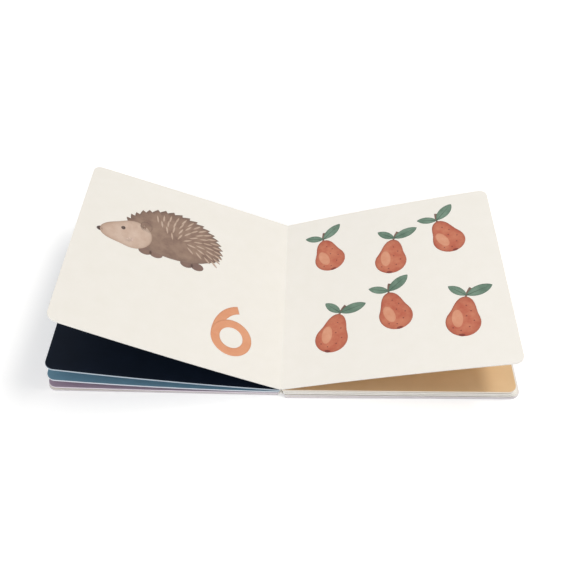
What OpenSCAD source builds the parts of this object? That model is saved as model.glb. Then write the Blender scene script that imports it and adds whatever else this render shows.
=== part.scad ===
// Board book for a baby, lying open at a middle spread.
// Thick card leaves are folded and glued at the spine, with a stiff cover on each side.
// X runs across the open spread, Y up the page and Z up from the table.
// The origin is on the table, under the middle of the gutter.

/* [Leaves] */
// Width of a page, from spine to fore-edge
page_w = 180; // [120:1:240]
// Height of a page, from tail to head
page_h = 180; // [120:1:240]
// Thickness of one board, leaf or cover
board_t = 1.4; // [1.2:0.1:2.6]
// Radius of the two outer corners of every board
corner_r = 7; // [3:0.5:20]
// Leaves to the left of the open spread
left_leaves = 4; // [3:1:7]
// Leaves to the right of the open spread
right_leaves = 5; // [3:1:7]
// Air between neighbouring leaves at the spine
leaf_gap = 0.15; // [0.1:0.05:0.4]

/* [Opening] */
// Slope of the open leaf on the left, in degrees
left_open = 25; // [18:0.1:32]
// Slope of the open leaf on the right, in degrees
right_open = 14.1; // [10:0.1:30]
// Slope of the highest closed leaf on the left, in degrees
left_fan = 7.4; // [3:0.1:10]
// Slope of the highest closed leaf on the right, in degrees
right_fan = 1.1; // [0.3:0.1:4]
// Upward curl of the closed leaves on the left, in degrees from root to fore-edge
left_curl = 5.5; // [2:0.1:9]

/* [Spine] */
// How far the spine edge of each leaf steps in over the board below it
root_step = 0.6; // [0.3:0.05:0.8]
// Width across the foot of the spine wrap, where it folds up between the two stacks
wrap_w = 2.8; // [2.4:0.1:5]
// Thickness of the card of the spine wrap
wrap_t = 0.5; // [0.3:0.05:0.8]
// Clearance between the spine wrap and the folds beside it
wrap_play = 0.1; // [0.05:0.05:0.3]
// Depth that a paper fold bites into the board on each side of it
fold_bite = 0.45; // [0.3:0.05:0.6]
// How far the paper folds stop short of the head and the tail
fold_inset = 0.3; // [0.1:0.1:2]
// How far each open leaf stops short of the crease
crease_slit = 0.1; // [0.05:0.05:0.4]
// Clearance round the fold that a cover swings on
hinge_play = 0.08; // [0.05:0.01:0.2]
// Clearance between the swinging edge of a cover and the spine wrap
swing_gap = 0.3; // [0.2:0.05:0.6]

/* [Hidden] */
$fn = 96;
ARC_FN = 1440;

CREAM = "#F1EEE6";
NAVY = "#1E2836";
TEAL = "#56788A";
LAVENDER = "#8C7890";
TAN = "#E0C096";
BOARD = "#E9E6E0";
LEFT_INKS = [LAVENDER, TEAL, NAVY];
RIGHT_INKS = [TAN];

// Height of the underside of the highest closed leaf, the same on both sides
rise = (max(left_leaves, right_leaves) - 1) * (board_t + leaf_gap);

// Spacing of the boards at the spine in a stack of n leaves
function pitch(n) = rise / (n - 1);
// Radius of the paper folds that join the boards of a stack of n leaves
function fold_r(n) = (pitch(n) - board_t) / 2 + fold_bite;
// Height of the fold between board i and the board above it
function fold_z(n, i) = (i + 0.5) * pitch(n) + board_t / 2;
// Slope of closed leaf i of a stack of n leaves, from its root to its fore-edge
function lean(n, fan, i) = fan * pow(i / (n - 1), 2);
// Curl of that leaf, never so much that its root dips towards the leaf below
function bend(n, fan, curl, i) = min(curl, 2 * lean(n, fan, i));

// How far a stack's spine edges step in for each unit of height
function inset_rate(n) = root_step / pitch(n);
// Room beside the middle that a stack of n leaves needs, so that its folds clear the spine wrap
function spine_room(n) =
    wrap_w / 2 + wrap_play + fold_r(n) * sqrt(1 + pow(inset_rate(n), 2))
    + (wrap_bottom - fold_z(n, 0)) * inset_rate(n) - (n - 1.5) * root_step;

wrap_bottom = max(fold_z(left_leaves, 0), fold_z(right_leaves, 0)) + swing_gap;
// Distance of the spine edge of each highest closed leaf from the middle
gutter = max(
    spine_room(left_leaves), spine_room(right_leaves), fold_r(left_leaves), fold_r(right_leaves)
);
// Distance of the spine edge of board i of a stack of n leaves from the middle
function root(n, i) = gutter + (n - 1 - i) * root_step;
// Distance from the middle of the fold between board i and the board above it
function fold_x(n, i) = i < n - 1 ? (root(n, i) + root(n, i + 1)) / 2 : gutter;

// How far the underside of an open leaf lies below the crease, above the spine edge of its stack
function drop(open) = board_t / cos(open) - gutter * tan(open);
// Top of the highest closed leaf on a side, at its spine edge
function stack_top(fan) = rise + board_t / cos(fan);

// Height of the crease of the open spread
crease_z = leaf_gap + max(
    stack_top(left_fan) + drop(left_open),
    stack_top(right_fan) + drop(right_open)
);
// The crease of the open spread is a paper fold too, sunk until it just rounds the valley
crease_r = board_t / 2;
crease_sink = 0.8 * crease_r;

// The two walls of the spine wrap lean together at the rate of the steeper stack
wrap_lean = max(inset_rate(left_leaves), inset_rate(right_leaves));
// Half of the width across the wrap at height z
function wrap_half(z) = wrap_w / 2 - (z - wrap_bottom) * wrap_lean;
// Height of the ridge inside the wrap, where the walls leave half of a card's thickness between them
wrap_ridge = min(
    wrap_bottom + (wrap_w / 2 - 1.25 * wrap_t) / wrap_lean,
    crease_z - board_t - wrap_play - wrap_t
);

// Outline of a board: square at the spine, with two round corners at the fore-edge
module board_outline() {
    difference() {
        translate([0, -page_h / 2]) square([page_w, page_h]);
        for (side = [-1, 1])
            translate([page_w - corner_r, side * (page_h / 2 - corner_r)])
                difference() {
                    translate([0, side > 0 ? 0 : -2 * corner_r]) square(2 * corner_r);
                    circle(r = corner_r);
                }
    }
}

// Section of a curled board, tangent to the X axis at its root and longer than the page at both ends
module curled_section(curl) {
    bend_r = page_w / (curl * PI / 180);
    intersection() {
        translate([0, bend_r])
            difference() {
                circle(r = bend_r, $fn = ARC_FN);
                circle(r = bend_r - board_t, $fn = ARC_FN);
            }
        translate([-board_t, -board_t]) square([page_w + 2 * board_t, page_w]);
    }
}

// One board with its lower spine edge on the Y axis; curl is the turn from root to fore-edge
module board(curl = 0) {
    if (curl == 0)
        linear_extrude(board_t) board_outline();
    else
        intersection() {
            rotate([90, 0, 0])
                linear_extrude(page_h + 2 * board_t, center = true) curled_section(curl);
            translate([0, 0, -2 * board_t]) linear_extrude(page_w) board_outline();
        }
}

// Round paper fold along the spine
module fold(x, z, r, length = page_h - 2 * fold_inset) {
    translate([x, 0, z])
        rotate([90, 0, 0]) cylinder(r = r, h = length, center = true);
}

// The leaves of one side of the spread, drawn to the right of the gutter
module stack(n, open, fan, curl, inks) {
    for (i = [1 : n - 1]) {
        turn = bend(n, fan, curl, i);
        ink = i > n - 1 - len(inks) ? inks[i - n + len(inks)] : CREAM;
        color(ink)
            translate([root(n, i), 0, i * pitch(n)])
                rotate([0, turn / 2 - lean(n, fan, i), 0]) board(turn);
    }
    color(BOARD)
        for (i = [0 : n - 1])
            fold(fold_x(n, i), fold_z(n, i), fold_r(n));
    color(CREAM)
        translate([0, 0, crease_z])
            rotate([0, -open, 0])
                translate([crease_slit, 0, -board_t]) board();
}

module pages() {
    stack(right_leaves, right_open, right_fan, 0, RIGHT_INKS);
    mirror([1, 0, 0]) stack(left_leaves, left_open, left_fan, left_curl, LEFT_INKS);
    color(CREAM) fold(0, crease_z - crease_sink, crease_r);
}

// Flat end of a tent that stands inside the wrap's outer faces by a margin
module tent(bottom, top, margin) {
    foot = wrap_half(bottom) - margin;
    ridge = wrap_half(top) - margin;
    polygon([[-foot, bottom], [foot, bottom], [ridge, top], [-ridge, top]]);
}

// The wrap of the cover, folded up between the spine edges of the two stacks
module spine() {
    color(BOARD)
        rotate([90, 0, 0])
            linear_extrude(page_h, center = true)
                difference() {
                    tent(wrap_bottom, wrap_ridge + wrap_t, 0);
                    tent(wrap_bottom - wrap_t, wrap_ridge, wrap_t);
                }
}

// Stiff cover board under a stack of n leaves, hollowed along the fold that it swings on
module cover(n) {
    difference() {
        translate([root(n, 0), 0, 0]) board();
        fold(fold_x(n, 0), fold_z(n, 0), fold_r(n) + hinge_play, page_h + 2 * fold_inset);
    }
}

module front_cover() {
    color(CREAM) mirror([1, 0, 0]) cover(left_leaves);
}

module back_cover() {
    color(CREAM) cover(right_leaves);
}

pages();
spine();
front_cover();
back_cover();
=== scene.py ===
"""Looks of a baby's board book that lies open at a middle spread.

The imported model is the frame: its covers give the size of a board and the room at the spine.
Every board is a bent sheet, worked out as a surface of two parameters: u, the distance from the
spine along the sheet, and y, the height on the page. The print is thin ink on those same surfaces.
"""

from __future__ import annotations

import logging
import math
from dataclasses import dataclass, field
from enum import Enum
from typing import Any, Mapping, Sequence

import bpy
import numpy as np
from bpy.types import Material, Mesh, Node, NodeSocket, NodeTree, Object
from mathutils import Euler, Matrix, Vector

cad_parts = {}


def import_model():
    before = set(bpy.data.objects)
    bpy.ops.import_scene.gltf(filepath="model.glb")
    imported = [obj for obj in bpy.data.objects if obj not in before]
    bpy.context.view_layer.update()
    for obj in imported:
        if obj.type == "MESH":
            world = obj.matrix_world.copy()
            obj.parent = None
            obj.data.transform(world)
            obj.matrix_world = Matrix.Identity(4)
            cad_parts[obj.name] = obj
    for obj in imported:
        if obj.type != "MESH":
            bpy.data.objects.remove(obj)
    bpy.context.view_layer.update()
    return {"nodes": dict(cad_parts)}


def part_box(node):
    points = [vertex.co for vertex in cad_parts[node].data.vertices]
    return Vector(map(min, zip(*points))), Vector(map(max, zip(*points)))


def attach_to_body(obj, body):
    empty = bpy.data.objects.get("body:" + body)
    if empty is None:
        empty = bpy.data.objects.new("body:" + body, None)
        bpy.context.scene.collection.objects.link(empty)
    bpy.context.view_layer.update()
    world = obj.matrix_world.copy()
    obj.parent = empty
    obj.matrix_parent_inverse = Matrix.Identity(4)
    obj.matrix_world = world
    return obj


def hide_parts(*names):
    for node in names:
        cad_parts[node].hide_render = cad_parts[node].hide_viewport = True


Array = np.ndarray
Pair = tuple[float, float]
LOG = logging.getLogger("board_book")
MM = 0.001


class Side(Enum):
    """The side of the gutter that a board lies on, as the sign of its X."""

    LEFT = -1
    RIGHT = 1


class Face(Enum):
    """The faces of a board, as the numbers of its material slots."""

    TOP = 0
    UNDERSIDE = 1
    EDGE = 2


class Ground(Enum):
    """The plain ground that a spread is printed with: its ink, and the ink where the card is cloudy."""

    CREAM = ("#F4F0E9", "#F2EEE6")
    NAVY = ("#141F30", "#111B2A")
    TEAL = ("#7AA1B5", "#759BB0")
    LAVENDER = ("#B4A3B5", "#AF9DB0")
    TAN = ("#E0C096", "#DBBA8F")


class Cut(Enum):
    """The cut edge of a board, faintly tinted by the ink that bleeds over it: pale, dark, and the colour
    of one darker line. That line is a glue seam on most cuts and a painted shadow on one; another cut is
    greyer all over as painted shade.
    """

    CREAM = ("#FAF8F4", "#E6E2DA", "#D2CCC2")
    NAVY = ("#C4D0DA", "#B2BFCA", "#A3B0BB")
    TEAL = ("#E4E9F0", "#CFD6DE", "#BEC6CE")
    LAVENDER = ("#F0E7EE", "#DCD2DA", "#C9BFC8")
    TAN = ("#F4ECE0", "#E2D8CA", "#CFC4B4")
    # Painted shadow: the darker line of this cut is drawn wide and low, in place of the shade in the gap
    # between two boards
    SEAMED = ("#FAF8F4", "#E6E2DA", "#8F8A86")
    # Painted shade: greyer than the other cuts, standing in for the shade along the foot of the stacks,
    # on the covers and on the lowest leaf on the right
    COVER = ("#E4DFE2", "#CEC8CB", "#BAB3B7")


class Layer(Enum):
    """The order in which inks lie on each other, as a height above the page in millimetres."""

    BEHIND = 0.03
    WASH = 0.05
    MARK = 0.07
    DOT = 0.09


def linear_rgba(code: str) -> tuple[float, float, float, float]:
    """Turns an sRGB hex colour to linear light.

    Args:
        code: The colour, such as "#F1EEE6".

    Returns:
        Linear red, green and blue, with an alpha of 1.
    """
    parts = np.array([int(code[i:i + 2], 16) for i in (1, 3, 5)]) / 255.0
    shares = np.where(parts <= 0.04045, parts / 12.92, ((parts + 0.055) / 1.055) ** 2.4)
    return *shares.tolist(), 1.0


def add_node(
    tree: NodeTree,
    kind: str,
    inputs: Mapping[str | int, Any] | None = None,
    **settings: Any,
) -> Node:
    """Adds a node, sets it and links it.

    Args:
        tree: The node tree that takes the node.
        kind: The node's type name, without the "ShaderNode" that it starts with.
        inputs: Values, sockets, or nodes that give their first output, by the input that takes them.
        **settings: The node's own properties. A ramp takes "stops", pairs of position and hex colour.

    Returns:
        The new node.
    """
    node = tree.nodes.new(f"ShaderNode{kind}")
    for number, (position, code) in enumerate(settings.pop("stops", ())):
        element = node.color_ramp.elements[number]
        element.position = position
        element.color = linear_rgba(code)
    for name, value in settings.items():
        setattr(node, name, value)
    for key, value in (inputs or {}).items():
        if isinstance(value, (Node, NodeSocket)):
            tree.links.new(value.outputs[0] if isinstance(value, Node) else value, node.inputs[key])
        else:
            node.inputs[key].default_value = value
    return node


def add_noise(
    tree: NodeTree, place: Node | NodeSocket, grain: float, detail: float, roughness: float
) -> Node:
    """Adds a noise with a grain of that length in the coordinates of the place."""
    inputs = {"Vector": place, "Scale": 1 / grain, "Detail": detail, "Roughness": roughness}
    return add_node(tree, "TexNoise", inputs)


def new_material(name: str) -> tuple[Material, NodeTree]:
    """Makes an empty node material.

    Args:
        name: The name of the finish.

    Returns:
        The material and its node tree.
    """
    material = bpy.data.materials.new(name)
    material.use_nodes = True
    material.node_tree.nodes.clear()
    return material, material.node_tree


def add_surface(tree: NodeTree, inputs: Mapping[str, Any]) -> None:
    """Ends a material's nodes in a principled surface that takes those inputs."""
    shader = add_node(tree, "BsdfPrincipled", inputs)
    add_node(tree, "OutputMaterial", {"Surface": shader})


@dataclass(frozen=True)
class LaminatedPrint:
    """Offset ink on white card under a thin matt film.

    The film evens the sheen, so only a faint cloudiness of the card and a fine tooth show in it.
    """

    ground: Ground
    roughness: float = 0.55
    # The matt film scatters much of the mirror light, so that dark grounds stay deep
    sheen: float = 0.2
    cloud_mm: float = 14.0
    # The real tooth is about 0.2 mm, and is drawn coarser so that it shows in the render
    tooth_mm: float = 0.9
    tooth_depth_mm: float = 0.012

    def build(self) -> Material:
        """Builds the finish.

        Returns:
            The material: two close tints, mixed in clouds, over a fine bump.
        """
        material, tree = new_material(f"matt_laminated_print_{self.ground.name.lower()}")
        ink, cloud_ink = self.ground.value
        place = add_node(tree, "TexCoord").outputs["Object"]
        clouds = add_noise(tree, place, self.cloud_mm * MM, 3.0, 0.6)
        tooth = add_noise(tree, place, self.tooth_mm * MM, 2.0, 0.7)
        bump = add_node(
            tree, "Bump", {"Strength": 0.25, "Distance": self.tooth_depth_mm * MM, "Height": tooth}
        )
        colour = add_node(tree, "ValToRGB", {0: clouds}, stops=((0.3, cloud_ink), (0.7, ink)))
        add_surface(tree, {
            "Base Color": colour, "Roughness": self.roughness, "IOR": 1.5,
            "Specular IOR Level": self.sheen, "Normal": bump,
        })
        return material


@dataclass(frozen=True)
class BoardEdge:
    """Die-cut edge of solid white board.

    The cut shows layers of fibre that run along the edge, and one darker line. On most cuts that line is
    the glue seam of two plies; one cut moves it low and widens it into a painted shadow of the gap
    between two boards.
    """

    cut: Cut
    board_mm: float
    fibre_mm: float = 0.12
    run_mm: float = 9.0
    fibre_depth_mm: float = 0.03
    # Middle of the darker line as a share of the board's thickness, and its width; where a cut moves and
    # widens it, the line is painted shadow
    dark_line_at: float = 0.5
    dark_line_mm: float = 0.16

    def build(self) -> Material:
        """Builds the finish.

        Returns:
            The material: streaks along the edge, and one darker line.
        """
        material, tree = new_material(f"die_cut_board_edge_{self.cut.name.lower()}")
        pale, dark, dark_line = self.cut.value
        sheet = add_node(tree, "UVMap", uv_map="sheet")
        stretch = (1 / (self.run_mm * MM), 1 / (self.fibre_mm * MM), 1.0)
        stretched = add_node(tree, "Mapping", {"Vector": sheet, "Scale": stretch})
        streaks = add_noise(tree, stretched, 1.0, 3.0, 0.65)
        fibre = add_node(tree, "ValToRGB", {0: streaks}, stops=((0.3, dark), (0.62, pale)))
        height = add_node(tree, "SeparateXYZ", {0: sheet}).outputs["Y"]
        near_dark_line = add_node(
            tree, "Math",
            {0: height, 1: self.dark_line_at * self.board_mm * MM, 2: self.dark_line_mm * MM / 2},
            operation="COMPARE",
        )
        with_dark_line = {0: near_dark_line, 6: fibre, 7: linear_rgba(dark_line)}
        colour = add_node(tree, "Mix", with_dark_line, data_type="RGBA")
        bump = add_node(
            tree, "Bump", {"Strength": 0.4, "Distance": self.fibre_depth_mm * MM, "Height": streaks}
        )
        add_surface(tree, {
            "Base Color": colour.outputs[2], "Roughness": 0.85, "IOR": 1.45, "Normal": bump
        })
        return material


@dataclass(frozen=True)
class WatercolourInk:
    """Printed watercolour wash: cloudy pigment, gathered in a darker rim where the wash dried."""

    name: str
    wash: str
    deep: str
    rim: str
    cloud_mm: float = 9.0
    rim_power: float = 7.0
    rim_share: float = 0.55
    roughness: float = 0.5

    def build(self) -> Material:
        """Builds the ink.

        Returns:
            The material: two washes mixed in clouds, with the rim colour at the shape's edge.
        """
        material, tree = new_material(self.name)
        place = add_node(tree, "TexCoord").outputs["Object"]
        clouds = add_noise(tree, place, self.cloud_mm * MM, 4.0, 0.62)
        wash = add_node(tree, "ValToRGB", {0: clouds}, stops=((0.32, self.deep), (0.66, self.wash)))
        sheet = add_node(tree, "UVMap", uv_map="sheet")
        spread = add_node(tree, "SeparateXYZ", {0: sheet}).outputs["X"]
        gather = add_node(tree, "Math", {0: spread, 1: self.rim_power}, operation="POWER")
        share = add_node(tree, "Math", {0: gather, 1: self.rim_share}, operation="MULTIPLY")
        rimmed = {0: share, 6: wash, 7: linear_rgba(self.rim)}
        colour = add_node(tree, "Mix", rimmed, data_type="RGBA")
        add_surface(tree, {"Base Color": colour.outputs[2], "Roughness": self.roughness, "IOR": 1.5})
        return material


@dataclass
class Patch:
    """A block of faces with the same number of corners, their corner UVs and one material slot."""

    faces: Array
    uv: Array
    slot: int = 0

    def turned(self) -> Patch:
        """The same faces, looking the other way."""
        return Patch(self.faces[:, ::-1], self.uv[:, ::-1], self.slot)


def stacked(*parts: Array | float) -> Array:
    """Stacks coordinates, or the corners of faces, along a new last axis."""
    return np.stack(np.broadcast_arrays(*parts), axis=-1)


def grid_faces(rows: int, columns: int) -> Array:
    """Numbers the quads of a grid of vertices.

    Args:
        rows: Vertices along the first parameter.
        columns: Vertices along the second parameter, which runs fastest.

    Returns:
        Four vertex numbers for each quad, counter-clockwise where rows run along X and columns along Y.
    """
    index = np.arange(rows * columns).reshape(rows, columns)
    corners = stacked(index[:-1, :-1], index[1:, :-1], index[1:, 1:], index[:-1, 1:])
    return corners.reshape(-1, 4)


def grid_border(rows: int, columns: int) -> Array:
    """Numbers the border vertices of the same grid, counter-clockwise from its first vertex."""
    index = np.arange(rows * columns).reshape(rows, columns)
    return np.concatenate((index[:-1, 0], index[-1, :-1], index[:0:-1, -1], index[0, :0:-1]))


def ring_faces(upper: Array, lower: Array) -> Array:
    """Joins two closed counter-clockwise rings of vertices, with faces that look outwards."""
    return stacked(upper, lower, np.roll(lower, -1), np.roll(upper, -1))


def full_turn(steps: int) -> Array:
    """Angles of a full turn, counter-clockwise from +X."""
    return np.linspace(0, 2 * np.pi, steps, endpoint=False)


def build_object(
    name: str, points: Array, patches: Sequence[Patch], materials: Sequence[Material]
) -> Object:
    """Puts arrays of points and faces into a mesh object at the origin.

    Args:
        name: The piece's name.
        points: Vertex positions in metres, one row each.
        patches: Blocks of faces over those points.
        materials: The materials of the slots.

    Returns:
        The object, linked to the scene, with edges sharp where two materials meet.
    """
    corners = np.concatenate([patch.faces.ravel() for patch in patches])
    totals = np.concatenate([np.full(len(patch.faces), patch.faces.shape[1]) for patch in patches])
    slots = np.concatenate([np.full(len(patch.faces), patch.slot) for patch in patches])
    uv = np.concatenate([patch.uv.reshape(-1, 2) for patch in patches])
    mesh = bpy.data.meshes.new(name)
    mesh.vertices.add(len(points))
    mesh.vertices.foreach_set("co", points.astype(np.float32).ravel())
    mesh.loops.add(len(corners))
    mesh.loops.foreach_set("vertex_index", corners.astype(np.int32))
    mesh.polygons.add(len(totals))
    mesh.polygons.foreach_set("loop_start", (np.cumsum(totals) - totals).astype(np.int32))
    mesh.polygons.foreach_set("material_index", slots.astype(np.int32))
    mesh.polygons.foreach_set("use_smooth", np.ones(len(totals), bool))
    mesh.update(calc_edges=True)
    mesh.uv_layers.new(name="sheet").data.foreach_set("uv", uv.astype(np.float32).ravel())
    for material in materials:
        mesh.materials.append(material)
    mark_sharp_borders(mesh, np.repeat(slots, totals))
    piece = bpy.data.objects.new(name, mesh)
    bpy.context.scene.collection.objects.link(piece)
    LOG.info("built %s with %d faces", name, len(totals))
    return piece


def mark_sharp_borders(mesh: Mesh, corner_slots: Array) -> None:
    """Marks the edges between two materials as sharp, so that a die-cut arris stays crisp.

    Args:
        mesh: The mesh, with its edges worked out.
        corner_slots: The material slot of each face corner.
    """
    edges = np.zeros(len(mesh.loops), np.int32)
    mesh.loops.foreach_get("edge_index", edges)
    lowest = np.full(len(mesh.edges), len(Face))
    highest = np.full(len(mesh.edges), -1)
    np.minimum.at(lowest, edges, corner_slots)
    np.maximum.at(highest, edges, corner_slots)
    sharp = mesh.attributes.new("sharp_edge", "BOOLEAN", "EDGE")
    sharp.data.foreach_set("value", lowest < highest)


def attach(piece: Object, body: str, node: str | None = None) -> None:
    """Ties a piece to the frame.

    Args:
        piece: The piece.
        body: The CAD body that it moves with.
        node: The CAD node that it stands for, if it stands for one.
    """
    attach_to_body(piece, body)
    if node:
        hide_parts(node)


@dataclass(frozen=True)
class BookSizes:
    """Sizes of the book in metres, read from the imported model, with the counts of its leaves."""

    page_w: float
    page_h: float
    board: float
    gutter: float
    root_step: float
    crease_z: float
    corner_r: float = 7 * MM
    leaf_gap: float = 0.15 * MM
    fold_bite: float = 0.45 * MM
    fold_inset: float = 0.3 * MM
    hinge_play: float = 0.08 * MM
    left_leaves: int = 4
    right_leaves: int = 5
    left_open: float = 25.0
    # The higher a closed leaf lies, the further its fore-edge steps in, as it wraps round the spine
    left_creep: float = 1.1 * MM
    right_creep: float = 2.2 * MM
    # The lowest board on the right has slid towards the reader, and lies out of square by some degrees
    slide: float = -2.4 * MM
    skew: float = 1.07
    slide_fade: float = 1.5

    @classmethod
    def from_frame(cls) -> BookSizes:
        """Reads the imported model.

        Returns:
            The sizes that the boxes of the covers and of the leaf block give.
        """
        low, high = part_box("back_cover")
        front_root = -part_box("front_cover")[1].x
        # The stack with one leaf more has its cover one step further out
        step = low.x - front_root
        gutter = front_root - (cls.left_leaves - 1) * step
        width = high.x - low.x
        crease_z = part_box("pages")[1].z - width * math.sin(math.radians(cls.left_open))
        return cls(width, high.y - low.y, high.z - low.z, gutter, step, crease_z)

    def leaves(self, side: Side) -> int:
        """Number of leaves on a side of the open spread."""
        return self.left_leaves if side is Side.LEFT else self.right_leaves

    def pitch(self, side: Side) -> float:
        """Spacing of the boards at the spine, so that both stacks rise equally high."""
        rise = (max(self.left_leaves, self.right_leaves) - 1) * (self.board + self.leaf_gap)
        return rise / (self.leaves(side) - 1)

    def fold_radius(self, side: Side) -> float:
        """Radius of the paper folds that join the boards of a stack."""
        return (self.pitch(side) - self.board) / 2 + self.fold_bite

    def root(self, side: Side, level: int) -> float:
        """Distance of a board's spine edge from the middle; the levels count from the cover as 0."""
        return self.gutter + (self.leaves(side) - 1 - level) * self.root_step

    def creep(self, side: Side, level: int) -> float:
        """How far the fore-edge of a board steps in."""
        most = self.left_creep if side is Side.LEFT else self.right_creep
        return most * level / (self.leaves(side) - 1)

    def slide_share(self, side: Side, level: int) -> float:
        """Share of the lowest right board's slide and skew that a board has."""
        return 0.0 if side is Side.LEFT else (1 - level / (self.right_leaves - 1)) ** self.slide_fade

    def fold_place(self, side: Side, level: int) -> Pair:
        """Distance from the middle, and height, of the fold above a board."""
        height = (level + 0.5) * self.pitch(side) + self.board / 2
        return max(self.root(side, level) - self.root_step / 2, self.gutter), height


@dataclass(frozen=True)
class Bend:
    """How a board bends: slope from root to fore-edge and turn along it, in degrees.

    Each is given at half the page's height, with the amount that it gains from there to the head.
    The skew is the angle that the head and the tail lie out of square, seen from above.
    """

    slope: float = 0.0
    slope_gain: float = 0.0
    turn: float = 0.0
    turn_gain: float = 0.0
    skew: float = 0.0


@dataclass
class Board:
    """One board of the book, a leaf or a cover, as a bent sheet with two round outer corners.

    The point at distance u from the spine is the end of an arc of that length. The arc's chord is u
    times the sinc of half its turn, and the chord's slope is the root's slope plus half the turn.
    """

    name: str
    side: Side
    sizes: BookSizes
    root_x: float
    root_z: float
    bend: Bend = Bend()
    base: float = 0.0
    creep: float = 0.0
    slide: float = 0.0
    hinge_r: float = 0.0
    arris: float = 0.18 * MM
    root_strip: float = 1.2 * MM
    root_steps: int = 8
    straight_steps: int = 40
    corner_steps: int = 10
    height_steps: int = 35
    arris_steps: int = 3

    def surface(self, u: Array, y: Array, rise: Array | float) -> Array:
        """Places points of the sheet.

        Args:
            u: Distances from the spine along the sheet.
            y: Heights on the page, from its middle.
            rise: Distances above the sheet's reference face, along its normal.

        Returns:
            Points in the book's frame, with the coordinates in the last axis.
        """
        share = 2 * y / self.sizes.page_h
        whole = np.radians(self.bend.turn + self.bend.turn_gain * share)
        root = np.radians(self.bend.slope + self.bend.slope_gain * share) - whole / 2
        turn = whole * u / self.sizes.page_w
        chord = u * np.sinc(turn / (2 * np.pi))
        x = self.root_x + chord * np.cos(root + turn / 2) - rise * np.sin(root + turn)
        z = self.root_z + chord * np.sin(root + turn / 2) + rise * np.cos(root + turn)
        slid = y + self.slide + u * math.tan(math.radians(self.bend.skew))
        return stacked(self.side.value * x, slid, z)

    def outline_grid(self, inset: float) -> tuple[Array, Array]:
        """Lays a grid over the board, with a row's half-height from the outline.

        Args:
            inset: How far the grid's border is drawn in from the board's edge.

        Returns:
            The u and the y of each grid point.
        """
        sizes = self.sizes
        corner_u = sizes.page_w - self.creep - sizes.corner_r
        root = np.linspace(inset, self.root_strip, self.root_steps, endpoint=False)
        straight = np.linspace(self.root_strip, corner_u, self.straight_steps)
        angle = np.linspace(0, np.pi / 2, self.corner_steps + 1)[1:]
        u = np.concatenate((root, straight, corner_u + (sizes.corner_r - inset) * np.sin(angle)))
        half = np.full(len(u), sizes.page_h / 2 - inset)
        half[-len(angle):] -= (sizes.corner_r - inset) * (1 - np.cos(angle))
        across = np.linspace(-1, 1, self.height_steps)
        return u[:, None] * np.ones_like(across), half[:, None] * across

    def top_rise(self, u: Array) -> Array:
        """Works out the top face, hollowed round the fold that a cover swings on.

        Args:
            u: Distances from the spine.

        Returns:
            The face's height at each.
        """
        level = np.full_like(u, self.base + self.sizes.board)
        axis_x, axis_z = self.sizes.fold_place(self.side, 0)
        off_axis = np.abs(u + self.root_x - axis_x)
        hollow = axis_z - self.root_z - np.sqrt(np.clip(self.hinge_r**2 - off_axis**2, 0, None))
        return np.where(off_axis < self.hinge_r, np.minimum(level, hollow), level)

    def edge_section(self) -> Array:
        """Draws the edge in section: a quarter round, the cut and a quarter round.

        Returns:
            Inset and height of each ring.
        """
        angle = np.linspace(0, np.pi / 2, self.arris_steps + 1)
        inset = self.arris * (1 - np.sin(angle))
        drop = self.arris * (1 - np.cos(angle))
        upper = stacked(inset, self.base + self.sizes.board - drop)
        lower = stacked(inset, self.base + drop)
        return np.concatenate((upper, lower[::-1]))

    def build(self, materials: Sequence[Material]) -> Object:
        """Builds the board as one closed mesh.

        Args:
            materials: Finish of the top, of the underside and of the edge.

        Returns:
            The board's object.
        """
        rings = self.edge_section()
        u, y = self.outline_grid(self.arris)
        border = grid_border(*u.shape)
        points = [self.surface(u, y, self.top_rise(u)), self.surface(u, y, self.base)]
        for inset, height in rings[1:-1]:
            ring_u, ring_y = (part.ravel()[border] for part in self.outline_grid(inset))
            points.append(self.surface(ring_u, ring_y, np.minimum(height, self.top_rise(ring_u))))
        patches = self.patches(u, y, border, rings[:, 1] - self.base)
        if self.side is Side.LEFT:
            patches = [patch.turned() for patch in patches]
        return build_object(
            self.name, np.concatenate([block.reshape(-1, 3) for block in points]), patches, materials
        )

    def patches(self, u: Array, y: Array, border: Array, heights: Array) -> list[Patch]:
        """Works out the faces of the top, the underside and the edge.

        Args:
            u: Distances of the grid points from the spine.
            y: Their page heights.
            border: Their numbers round the border.
            heights: Heights of the rings round the edge.

        Returns:
            The three blocks of faces, with UVs in metres along the sheet.
        """
        faces = grid_faces(*u.shape)
        flat = stacked(u.ravel(), y.ravel())
        count = len(border)
        inner = 2 * u.size + np.arange((len(heights) - 2) * count).reshape(-1, count)
        rings = np.concatenate((border[None], inner, border[None] + u.size))
        steps = np.linalg.norm(np.diff(flat[np.append(border, border[0])], axis=0), axis=1)
        after = np.cumsum(steps)
        before = after - steps
        edge = [ring_faces(upper, lower) for upper, lower in zip(rings, rings[1:])]
        along = stacked(before, before, after, after)
        high, low = heights[:-1], heights[1:]
        across = stacked(high, low, low, high)
        edge_uv = stacked(along, across[:, None])
        return [
            Patch(faces, flat[faces], Face.TOP.value),
            Patch(faces[:, ::-1] + u.size, flat[faces[:, ::-1]], Face.UNDERSIDE.value),
            Patch(np.concatenate(edge), edge_uv.reshape(-1, 4, 2), Face.EDGE.value),
        ]


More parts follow.
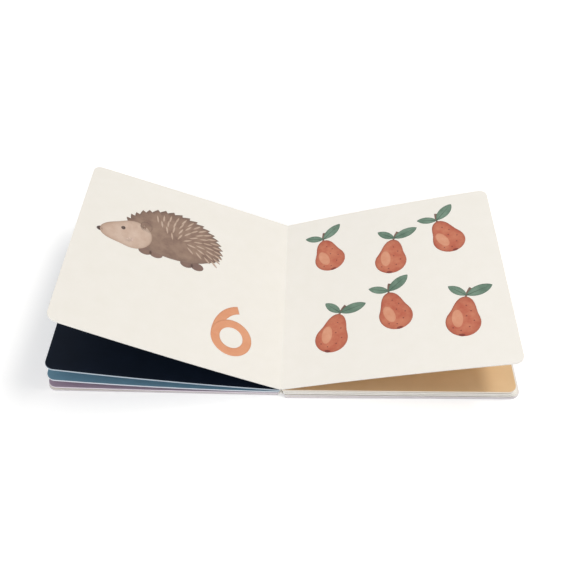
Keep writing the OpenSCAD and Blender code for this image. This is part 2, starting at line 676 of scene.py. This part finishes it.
@dataclass
class PaperFold:
    """A paper fold along the spine: a circle carried along Y, with a quarter round at each end."""

    name: str
    x: float
    z: float
    radius: float
    length: float
    around: int = 24
    end_steps: int = 5
    # Where the quarter round stops, as a share of its angle
    end_flat: float = 0.15

    def build(self, material: Material) -> Object:
        """Builds the fold as one closed mesh.

        Args:
            material: The card's finish.

        Returns:
            The fold's object.
        """
        angle = full_turn(self.around)
        lift = np.linspace(self.end_flat, 1, self.end_steps) * np.pi / 2
        reach = self.length / 2 - self.radius * (1 - np.cos(lift))
        y = np.concatenate((-reach, reach[::-1]))[:, None]
        radius = self.radius * np.concatenate((np.sin(lift), np.sin(lift[::-1])))[:, None]
        x, z = self.x + radius * np.cos(angle), self.z + radius * np.sin(angle)
        points = stacked(x, y, z)
        rows = np.arange(points.size // 3).reshape(len(y), self.around)
        faces = np.concatenate([ring_faces(near, far) for near, far in zip(rows, rows[1:])])
        flat = points.reshape(-1, 3)[:, 1:]
        ends = np.stack((rows[0], rows[-1, ::-1]))
        patches = [Patch(faces, flat[faces]), Patch(ends, flat[ends])]
        return build_object(self.name, points.reshape(-1, 3), patches, [material])


@dataclass
class PageArt:
    """Ink laid on one page: shapes in page coordinates, carried onto the leaf's own surface.

    Page coordinates are millimetres from the page's middle, X to the right and Y to the head.
    """

    leaf: Board
    film: float = 0.02
    stroke_rows: int = 7
    points: dict[str, list[Array]] = field(default_factory=dict)
    patches: dict[str, list[Patch]] = field(default_factory=dict)

    def place(self, flat: Array, lift: Array | float) -> Array:
        """Carries page coordinates onto the top face of the leaf, raised by a hair's breadth."""
        u = self.leaf.sizes.page_w / 2 + self.leaf.side.value * flat[..., 0] * MM
        return self.leaf.surface(u, flat[..., 1] * MM, self.leaf.base + self.leaf.sizes.board + lift * MM)

    def add(
        self, piece: str, flat: Array, spread: Array, lift: Array | float,
        tops: Sequence[Array], border: Array,
    ) -> None:
        """Adds a closed film of ink: the same flat faces above and below, joined round their border.

        Args:
            piece: Name of the printed piece that takes it.
            flat: Page coordinates of the vertices, one row each.
            spread: How near each vertex is to the shape's rim, from 0 to 1.
            lift: Height of the ink above the page.
            tops: Blocks of faces over those vertices.
            border: Vertex numbers round the shape, counter-clockwise.
        """
        blocks = self.points.setdefault(piece, [])
        start = sum(len(block) for block in blocks)
        count = len(flat)
        blocks += [self.place(flat, lift), self.place(flat, lift - self.film)]
        faces = [*tops, *(block[:, ::-1] + count for block in tops), ring_faces(border, border + count)]
        uv = np.tile(stacked(spread, 0.0), (2, 1))
        self.patches.setdefault(piece, []).extend(Patch(block + start, uv[block]) for block in faces)

    def add_blob(
        self, piece: str, centre: Sequence[float] | Array, outline: Array, layer: Layer,
        turn: float = 0.0, rings: int = 8,
    ) -> None:
        """Adds a filled outline, as rings that grow from its centre.

        Args:
            piece: Name of the printed piece that takes it.
            centre: Page coordinates of the shape's centre.
            outline: Points round the centre, counter-clockwise.
            layer: The layer of ink.
            turn: Turn of the shape about its centre, in degrees.
            rings: Number of rings.
        """
        shares = np.sqrt(np.arange(1, rings + 1) / rings)
        grown = (shares[:, None, None] * (outline @ turn_left(turn))).reshape(-1, 2)
        flat = np.array(centre) + np.concatenate((np.zeros((1, 2)), grown))
        index = 1 + np.arange(rings * len(outline)).reshape(rings, -1)
        middle = stacked(0, index[0], np.roll(index[0], -1))
        bands = [ring_faces(inner, outer) for inner, outer in zip(index, index[1:])]
        spread = np.concatenate(([0.0], np.repeat(shares, len(outline))))
        self.add(piece, flat, spread, layer.value, [middle, *bands], index[-1])

    def add_stroke(self, piece: str, path: Array, width: Array | float, layer: Layer) -> None:
        """Adds a brush stroke: a straight line across, carried along a path.

        Args:
            piece: Name of the printed piece that takes it.
            path: Page coordinates along the stroke.
            width: Width of the stroke, or its width at each point of the path.
            layer: The layer of ink.
        """
        along = np.gradient(path, axis=0)
        along /= np.linalg.norm(along, axis=1, keepdims=True)
        left = stacked(-along[:, 1], along[:, 0])
        across = np.linspace(-0.5, 0.5, self.stroke_rows)
        reach = np.broadcast_to(width, len(path))[:, None] * across
        flat = (path[:, None] + reach[..., None] * left[:, None]).reshape(-1, 2)
        spread = np.tile(np.abs(2 * across), len(path))
        # The stroke climbs by half a film, so that it can cross itself
        climb = np.repeat(np.linspace(0, self.film / 2, len(path)), len(across))
        faces = grid_faces(len(path), len(across))
        self.add(piece, flat, spread, layer.value + climb, [faces], grid_border(len(path), len(across)))

    def build(self, inks: Mapping[str, WatercolourInk]) -> None:
        """Builds and ties one object for each printed piece.

        Args:
            inks: The ink of each piece, by the piece's name.
        """
        for piece, blocks in self.points.items():
            ink = inks[piece].build()
            printed = build_object(piece, np.concatenate(blocks), self.patches[piece], [ink])
            attach(printed, "book_block")


def turn_left(degrees: float) -> Array:
    """The matrix that turns rows of points to the left; its first row is the turned X axis."""
    angle = math.radians(degrees)
    return np.array([[math.cos(angle), math.sin(angle)], [-math.sin(angle), math.cos(angle)]])


def round_points(angles: Array | float, reach_x: Array | float, reach_y: Array | float) -> Array:
    """Points at angles from +X, with their reaches along X and Y."""
    return stacked(reach_x * np.cos(angles), reach_y * np.sin(angles))


def off_top(angles: Array) -> Array:
    """Degrees that angles lie off +Y."""
    return np.degrees((angles + np.pi / 2) % (2 * np.pi) - np.pi)


def ellipse(width: float, height: float, steps: int = 40) -> Array:
    """Points of an ellipse, counter-clockwise."""
    return round_points(full_turn(steps), width / 2, height / 2)


def pointed_oval(length: float, width: float, steps: int = 40) -> Array:
    """Points of an oval along X whose flanks thin out towards two sharp tips."""
    t = full_turn(steps)
    return round_points(t, length / 2, width / 2 * np.abs(np.sin(t)) ** 0.6)


def swollen_circle(radius: float, swell: float, spread: float = 29.0, steps: int = 96) -> Array:
    """Points of a circle whose radius swells towards +Y like a bell curve.

    Args:
        radius: Radius away from the swelling.
        swell: Share that the radius gains at the top.
        spread: Width of the bell, in degrees.
        steps: Number of points.

    Returns:
        The outline, which looks like a pear or a snouted head.
    """
    t = full_turn(steps)
    r = radius * (1 + swell * np.exp(-((off_top(t) / spread) ** 2)))
    return round_points(t, r, r)


# The ink of each printed piece, by the piece's name
COUNTING_INKS = {
    "numeral_print": WatercolourInk("numeral_ink", "#E3A079", "#DF976F", "#DF976F", rim_share=0.0),
    "hedgehog_feet_print": WatercolourInk("foot_ink", "#8C7062", "#7A6058", "#66504A"),
    "hedgehog_back_print": WatercolourInk("bristle_ink", "#A08573", "#856A5C", "#6E564C"),
    "hedgehog_bristle_print": WatercolourInk("pale_bristle_ink", "#C9B19F", "#B99E8B", "#A98A76"),
    "hedgehog_head_print": WatercolourInk("head_ink", "#D8C0AF", "#C9AC99", "#A98A76"),
    "hedgehog_cheek_print": WatercolourInk("cheek_ink", "#EBD3C8", "#E4C4B6", "#DDB9A9"),
    "hedgehog_mark_print": WatercolourInk("mark_ink", "#5A4640", "#4C3A36", "#41312E"),
}
PEAR_INKS = {
    "pear_stalk_print": WatercolourInk("stalk_ink", "#86695C", "#75594E", "#5F4840"),
    "pear_leaf_print": WatercolourInk("leaf_ink", "#7C9684", "#5E7A68", "#4C6656"),
    "pear_print": WatercolourInk("pear_ink", "#CF8163", "#BC6048", "#9C4A38"),
    "pear_blush_print": WatercolourInk("blush_ink", "#E0A283", "#D68F70", "#CF8163"),
    "pear_fleck_print": WatercolourInk("fleck_ink", "#93473A", "#7E3A30", "#7E3A30"),
    "pear_vein_print": WatercolourInk("vein_ink", "#4C6656", "#43594C", "#43594C"),
}


@dataclass
class CountingPage:
    """Print of the left page: a plain numeral, and a hedgehog above it."""

    art: PageArt
    numeral_at: Pair = (46.0, -48.0)
    hedgehog_at: Pair = (-12.0, 26.0)
    numeral_w: float = 34.0
    numeral_h: float = 50.0
    stroke: float = 7.4
    # Reach of the numeral's back, in radii of its bowl, and the angle at which it starts
    back_run: float = 1.65
    back_start: float = 78.0
    feet: tuple[float, ...] = (-21.0, -12.0, 14.0, 23.0)
    foot_y: float = -21.0
    back_w: float = 80.0
    back_up: float = 31.0
    back_down: float = 21.0
    # Bristles in a full turn, and their depth as a share of the back's radius
    bristles: int = 38
    bristle_depth: float = 0.1
    # Rows of pale bristles: share of the way out, and number
    bristle_rows: tuple[tuple[float, int], ...] = ((0.3, 5), (0.52, 9), (0.74, 13), (0.93, 16))
    # Their arc from rump to brow in degrees, its centre and its reach, and how far they lean back
    bristle_arc: Pair = (-22.0, 128.0)
    bristle_centre: Pair = (5.0, -2.0)
    bristle_reach: Pair = (37.0, 30.0)
    bristle_lean: float = 24.0

    def draw_numeral(self) -> None:
        """Draws a 6: a quarter ellipse down its back, then once round the bowl."""
        x, y = self.numeral_at
        bowl = (self.numeral_w - self.stroke) / 2
        low = y - self.numeral_h / 2 + self.stroke / 2 + bowl
        rise = y + self.numeral_h / 2 - self.stroke / 2 - low
        run = self.back_run * bowl
        s = np.radians(np.linspace(self.back_start, 0, 26))
        back = np.array([x - bowl + run, low]) + round_points(s, -run, rise)
        t = np.radians(np.linspace(180, 540, 73))[1:]
        path = np.concatenate((back, np.array([x, low]) + round_points(t, bowl, bowl)))
        self.art.add_stroke("numeral_print", path, self.stroke, Layer.WASH)

    def back_outline(self) -> Array:
        """Outlines the back, whose bristles lean back.

        Returns:
            Points of two half ellipses, with a saw-tooth on the radius from the rump to the brow.
        """
        points, half_arc, arc_off, fade = 8, 112, 18, 20
        t = full_turn(self.bristles * points)
        tooth = 1 - (t * self.bristles / (2 * np.pi)) % 1
        window = np.clip((half_arc - np.abs(off_top(t) + arc_off)) / fade, 0, 1)
        r = 1 + self.bristle_depth * tooth * window
        tall = np.where(np.sin(t) > 0, self.back_up, self.back_down)
        return round_points(t, self.back_w / 2 * r, tall * r)

    def draw_hedgehog(self) -> None:
        """Draws the hedgehog: feet, bristled back, rows of paler bristles, head and small marks."""
        art, at = self.art, np.array(self.hedgehog_at)
        for foot in self.feet:
            art.add_blob("hedgehog_feet_print", at + (foot, self.foot_y), ellipse(11, 8), Layer.BEHIND)
        art.add_blob("hedgehog_back_print", at, self.back_outline(), Layer.WASH)
        bristle = pointed_oval(8.5, 1.7, 16)
        for share, count in self.bristle_rows:
            for angle in np.linspace(*self.bristle_arc, count):
                reach = share * round_points(math.radians(angle), *self.bristle_reach)
                root = at + self.bristle_centre + reach
                lean = angle - self.bristle_lean
                art.add_blob("hedgehog_bristle_print", root, bristle, Layer.MARK, lean, 2)
        for piece, place, outline, turn, rings in (
            ("head", (-33, -7), swollen_circle(15.5, 0.75, 31), 100, 8),
            ("cheek", (-36, -13), ellipse(8, 7), 0, 4),
            ("mark", (-42, -3), ellipse(3.6, 3.8, 24), 0, 3),
            ("mark", (-59.4, -11.6), ellipse(5.6, 4.8, 24), 0, 3),
            ("back", (-24, 6), ellipse(10, 12), 20, 4),
        ):
            art.add_blob(f"hedgehog_{piece}_print", at + place, outline, Layer.DOT, turn, rings)

    def build(self) -> None:
        """Lays the print on the leaf."""
        self.draw_numeral()
        self.draw_hedgehog()
        self.art.build(COUNTING_INKS)


@dataclass
class PearPage:
    """Print of the right page: six pears in two loose rows."""

    art: PageArt
    columns: tuple[float, ...] = (-50.0, 2.0, 52.0)
    rows: tuple[float, ...] = (30.0, -42.0)
    stagger: float = 7.0
    tilts: tuple[float, ...] = (14.0, -9.0, 18.0, -16.0, 10.0, -12.0)
    radius: float = 13.2
    neck: float = 0.86
    # How far the stalk bows, how deep it starts in the neck, and its length
    stalk_bow: float = 3.2
    stalk_root: float = 2.0
    stalk_len: float = 11.0
    # Where the leaves spring from above the neck; lean in degrees, length and width of the two
    leaf_root: Pair = (0.6, 1.5)
    leaves: tuple[tuple[float, float, float], ...] = ((32, 22, 9.5), (152, 17, 7.5))
    vein_run: float = 0.86
    blush_at: Pair = (-4.6, 3.0)
    blush_lean: float = 8.0
    flecks: tuple[Pair, ...] = (
        (5, -4), (8, 2), (2, 6), (-1, -8), (5, 11), (-7, -6), (1, 16)
    )

    def draw_pear(self, at: Array, tilt: float) -> None:
        """Draws one pear about the centre of its round end.

        Args:
            at: Page coordinates of that centre.
            tilt: Turn of the pear to the left, in degrees.
        """
        art, spin = self.art, turn_left(tilt)
        top = self.radius * (1 + self.neck)
        t = np.linspace(0, 1, 9)
        rise = top - self.stalk_root + self.stalk_len * t
        stalk = stacked(self.stalk_bow * t**2, rise) @ spin + at
        art.add_stroke("pear_stalk_print", stalk, 1.7 + 1.1 * t**3, Layer.BEHIND)
        root = np.array(self.leaf_root) + (0, top)
        for lean, length, width in self.leaves:
            way = turn_left(lean)[0]
            middle = (root + way * length / 2) @ spin + at
            outline = pointed_oval(length, width)
            art.add_blob("pear_leaf_print", middle, outline, Layer.WASH, lean + tilt)
            vein = (root + way * (length * self.vein_run * t)[:, None]) @ spin + at
            art.add_stroke("pear_vein_print", vein, 0.7 * (1 - 0.8 * t), Layer.MARK)
        art.add_blob("pear_print", at, swollen_circle(self.radius, self.neck), Layer.WASH, tilt)
        blush = np.array(self.blush_at) @ spin + at
        art.add_blob("pear_blush_print", blush, ellipse(8.5, 17), Layer.MARK, tilt + self.blush_lean)
        for fleck in self.flecks:
            place = np.array(fleck) @ spin + at
            art.add_blob("pear_fleck_print", place, ellipse(1.1, 1.1, 10), Layer.DOT, 0, 1)
        foot = np.array([0, 1 - self.radius]) @ spin + at
        art.add_blob("pear_fleck_print", foot, ellipse(5, 2.4, 20), Layer.DOT, tilt, 2)

    def build(self) -> None:
        """Lays the print on the leaf."""
        places = [(x, y) for y in self.rows for x in self.columns]
        for number, ((x, y), tilt) in enumerate(zip(places, self.tilts)):
            self.draw_pear(np.array([x, y + self.stagger * (-1) ** number]), tilt)
        self.art.build(PEAR_INKS)


@dataclass
class Finishes:
    """The finishes of the bare book: a laminated print for each ground, and the cut edges."""

    sizes: BookSizes
    prints: dict[Ground, Material] = field(default_factory=dict)
    cuts: dict[Cut, Material] = field(default_factory=dict)

    def __post_init__(self) -> None:
        """Builds every finish once."""
        for ground in Ground:
            self.prints[ground] = LaminatedPrint(ground).build()
        for cut in Cut:
            # One leaf on the right has its darker line moved to its foot and widened: a painted shadow of
            # the gap between it and the leaf below
            dark_line = {"dark_line_at": 0.14, "dark_line_mm": 0.5} if cut is Cut.SEAMED else {}
            self.cuts[cut] = BoardEdge(cut, self.sizes.board / MM, **dark_line).build()

    def board(self, top: Ground, underside: Ground, cut: Cut) -> list[Material]:
        """Materials of a board's top, underside and edge."""
        return [self.prints[top], self.prints[underside], self.cuts[cut]]


@dataclass
class BookBlock:
    """The leaves of the book and the paper folds that join them at the spine."""

    sizes: BookSizes
    finishes: Finishes
    left_bends: tuple[Bend, ...] = (
        Bend(slope=0.68, turn=1.55),
        Bend(slope=3.35, turn=6.03),
        Bend(slope=7.42, turn=5.02),
    )
    left_open: Bend = Bend(slope=24.95, slope_gain=-2.37, turn=1.21, turn_gain=-2.63)
    left_grounds: tuple[Ground, ...] = (Ground.LAVENDER, Ground.TEAL, Ground.NAVY)
    right_fan: float = 1.13
    # How far the closed leaves on the right lie off their even places, from the cover up
    right_lifts: tuple[float, ...] = (-0.1 * MM, 0.2 * MM, 0.1 * MM, 0.0)
    right_open: Bend = Bend(slope=14.14, slope_gain=0.89, turn=-4.35)
    right_ground: Ground = Ground.TAN
    # Depth of the crease's fold under the crease, in thicknesses of a board
    crease_sink: float = 0.4

    def open_leaf(self, side: Side) -> Board:
        """Works out a leaf of the open spread, which hangs from the crease by its top face.

        Args:
            side: The leaf's side.

        Returns:
            The leaf.
        """
        sizes = self.sizes
        number = sizes.left_leaves + (side is Side.RIGHT)
        bend = self.left_open if side is Side.LEFT else self.right_open
        return Board(f"leaf_{number}", side, sizes, 0.0, sizes.crease_z, bend, -sizes.board)

    def closed_leaf(self, side: Side, level: int) -> Board:
        """Works out a closed leaf.

        Args:
            side: The leaf's side.
            level: Its level in the stack, counted from the cover as 0.

        Returns:
            The leaf.
        """
        sizes = self.sizes
        root_z = level * sizes.pitch(side)
        if side is Side.LEFT:
            number, bend = level, self.left_bends[level - 1]
        else:
            number = sizes.left_leaves + 1 + sizes.right_leaves - level
            root_z += self.right_lifts[level - 1]
            slope = self.right_fan * (level / (sizes.right_leaves - 1)) ** 2
            bend = Bend(slope=slope, skew=sizes.skew * sizes.slide_share(side, level))
        return Board(
            f"leaf_{number}", side, sizes, sizes.root(side, level), root_z, bend,
            creep=sizes.creep(side, level), slide=sizes.slide * sizes.slide_share(side, level),
        )

    def build_leaves(self) -> None:
        """Builds the leaves; the two pages of a spread have the same ground."""
        cream = Ground.CREAM
        left_under = (cream, *self.left_grounds)
        for level, ground in enumerate(self.left_grounds, start=1):
            self.dress(self.closed_leaf(Side.LEFT, level), ground, left_under[level - 1])
        self.dress(self.open_leaf(Side.LEFT), cream, left_under[-1])
        self.dress(self.open_leaf(Side.RIGHT), cream, self.right_ground)
        top_level = self.sizes.right_leaves - 1
        for level in range(top_level, 0, -1):
            ground = self.right_ground if level == top_level else cream
            # The lowest leaf on the right takes the greyer cut, painted shade along the foot of the
            # stack, and the next leaf takes the cut with a painted shadow line at its foot
            cut = {1: Cut.COVER, 2: Cut.SEAMED}.get(level)
            self.dress(self.closed_leaf(Side.RIGHT, level), ground, cream, cut)

    def dress(self, leaf: Board, top: Ground, underside: Ground, cut: Cut | None = None) -> None:
        """Builds a leaf with the grounds of its two pages and ties it to the block."""
        piece = leaf.build(self.finishes.board(top, underside, cut or Cut[top.name]))
        attach(piece, "book_block", "pages")

    def build_folds(self) -> None:
        """Builds a fold between each pair of boards, and the one under the crease."""
        sizes = self.sizes
        length = sizes.page_h - 2 * sizes.fold_inset
        card = self.finishes.prints[Ground.CREAM]
        crease_z = sizes.crease_z - self.crease_sink * sizes.board
        folds = [PaperFold("crease_fold", 0.0, crease_z, sizes.board / 2, length)]
        for side in Side:
            for level in range(sizes.leaves(side)):
                x, z = sizes.fold_place(side, level)
                name = f"{side.name.lower()}_fold_{level + 1}"
                folds.append(PaperFold(name, side.value * x, z, sizes.fold_radius(side), length))
        for fold in folds:
            attach(fold.build(card), "book_block", "pages")

    def build(self) -> None:
        """Builds the leaves, the folds and the print of the open spread."""
        self.build_leaves()
        self.build_folds()
        CountingPage(PageArt(self.open_leaf(Side.LEFT))).build()
        PearPage(PageArt(self.open_leaf(Side.RIGHT))).build()


@dataclass
class Casing:
    """The stiff covers, and the wrap of the spine between them."""

    sizes: BookSizes
    finishes: Finishes
    arris: float = 0.4 * MM

    def build_cover(self, side: Side, node: str) -> None:
        """Builds a cover board, hollowed along the fold that it swings on.

        Args:
            side: The side that the cover lies on.
            node: Name of the CAD node and of its body.
        """
        sizes = self.sizes
        hinge_r = sizes.fold_radius(side) + sizes.hinge_play
        share = sizes.slide_share(side, 0)
        board = Board(
            f"{node}_board", side, sizes, sizes.root(side, 0), 0.0, Bend(skew=sizes.skew * share),
            slide=sizes.slide * share, hinge_r=hinge_r, arris=self.arris,
        )
        # The cover's cut is the greyer one, painted shade along the foot of the stack
        piece = board.build(self.finishes.board(Ground.CREAM, Ground.CREAM, Cut.COVER))
        attach(piece, node, node)

    def build(self, spine: Object) -> None:
        """Builds both covers and gives the spine their laminated card.

        Args:
            spine: The CAD node's object.
        """
        self.build_cover(Side.LEFT, "front_cover")
        self.build_cover(Side.RIGHT, "back_cover")
        spine.data.materials.clear()
        spine.data.materials.append(self.finishes.prints[Ground.CREAM])


@dataclass(frozen=True)
class SoftBox:
    """A round soft box that looks at the book, with its place, size, power in watts and colour."""

    name: str
    at: tuple[float, float, float]
    size: float
    watts: float
    tint: str

    def hang(self) -> None:
        """Hangs the lamp at its place, turned to the middle of the book."""
        lamp = bpy.data.lights.new(self.name, "AREA")
        lamp.shape = "DISK"
        lamp.size = self.size
        lamp.energy = self.watts
        lamp.color = linear_rgba(self.tint)[:3]
        hung = bpy.data.objects.new(self.name, lamp)
        x, y, z = hung.location = self.at
        hung.rotation_euler = (math.atan2(math.hypot(x, y), z), 0.0, math.atan2(x, -y))
        bpy.context.scene.collection.objects.link(hung)


@dataclass
class Studio:
    """White floor, soft light from the right and a camera that looks down on the open book."""

    lens_mm: float = 44.19
    camera_at: tuple[float, float, float] = (0.01769, -0.38323, 0.46255)
    pitch: float = 48.62
    yaw: float = 2.58
    roll: float = -1.01
    floor_half: float = 3.0
    floor_rows: int = 3
    floor_drop: float = 0.05 * MM
    floor_lift: float = 0.272
    shade_reach: float = 0.45
    white_reach: float = 1.2
    sky: float = 0.513
    boxes: tuple[SoftBox, ...] = (
        SoftBox("right_key", (1.25, 0.0, 2.165), 0.7, 16.7, "#FFFDF8"),
        SoftBox("high_key", (1.083, 0.625, 2.165), 0.7, 9.8, "#FFFDF8"),
        SoftBox("low_fill", (-1.133, -1.962, 1.057), 1.4, 18.1, "#FBFCFF"),
    )

    def build_camera(self) -> None:
        """Sets the camera at the photograph's viewing angle, which is rolled by a degree."""
        data = bpy.data.cameras.new("camera")
        data.sensor_width = 36.0
        data.lens = self.lens_mm
        data.clip_start = 0.01
        camera = bpy.data.objects.new("camera", data)
        camera.location = self.camera_at
        level = Euler((math.radians(90 - self.pitch), 0.0, math.radians(self.yaw))).to_matrix()
        camera.rotation_euler = (level @ Matrix.Rotation(math.radians(self.roll), 3, "Z")).to_euler()
        bpy.context.scene.collection.objects.link(camera)
        bpy.context.scene.camera = camera

    def build_floor(self) -> None:
        """Lays a flat white sheet under the book, lifted to white only for what looks at it.

        Round the book the lift is small, so that the shade shows; further out it grows to full white.
        """
        material, tree = new_material("white_studio_sheet")
        path = add_node(tree, "LightPath")
        rays = {0: path.outputs["Is Camera Ray"], 1: path.outputs["Is Glossy Ray"]}
        seen = add_node(tree, "Math", rays, operation="ADD")
        place = add_node(tree, "TexCoord").outputs["Object"]
        away = add_node(tree, "VectorMath", {0: place}, operation="LENGTH").outputs["Value"]
        ends = {
            "Value": away, "From Min": self.shade_reach, "From Max": self.white_reach,
            "To Min": self.floor_lift, "To Max": 1.0,
        }
        level = add_node(tree, "MapRange", ends, interpolation_type="SMOOTHSTEP")
        lift = add_node(tree, "Math", {0: seen, 1: level}, operation="MULTIPLY")
        paint = add_node(tree, "BsdfDiffuse", {"Color": linear_rgba("#F5F5F5")})
        glow = add_node(tree, "Emission", {"Strength": lift})
        both = add_node(tree, "AddShader", {0: paint, 1: glow})
        add_node(tree, "OutputMaterial", {"Surface": both})
        side = np.linspace(-self.floor_half, self.floor_half, self.floor_rows)
        x, y = np.meshgrid(side, side, indexing="ij")
        points = stacked(x, y, -self.floor_drop).reshape(-1, 3)
        faces = grid_faces(*x.shape)
        build_object("studio_floor", points, [Patch(faces, points[faces][..., :2])], [material])

    def build_light(self) -> None:
        """Hangs two soft lamps on the right and a low, cooler one in front, under an even sky."""
        for box in self.boxes:
            box.hang()
        world = bpy.data.worlds.new("even_sky")
        world.use_nodes = True
        tree = world.node_tree
        tree.nodes.clear()
        path = add_node(tree, "LightPath")
        strength = add_node(
            tree, "Mix", {0: path.outputs["Is Camera Ray"], 2: self.sky, 3: 1.0}, data_type="FLOAT"
        )
        white = linear_rgba("#FFFFFF")
        sky = add_node(tree, "Background", {"Color": white, "Strength": strength})
        add_node(tree, "OutputWorld", {"Surface": sky})
        bpy.context.scene.world = world

    def build(self) -> None:
        """Sets camera, floor, light and the plain view transform."""
        self.build_camera()
        self.build_floor()
        self.build_light()
        bpy.context.scene.view_settings.view_transform = "Standard"


def main() -> None:
    """Builds the book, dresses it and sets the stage."""
    logging.basicConfig(level=logging.INFO, format="%(name)s: %(message)s")
    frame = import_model()
    sizes = BookSizes.from_frame()
    finishes = Finishes(sizes)
    BookBlock(sizes, finishes).build()
    Casing(sizes, finishes).build(frame["nodes"]["spine"])
    Studio().build()


if __name__ == "__main__":
    main()
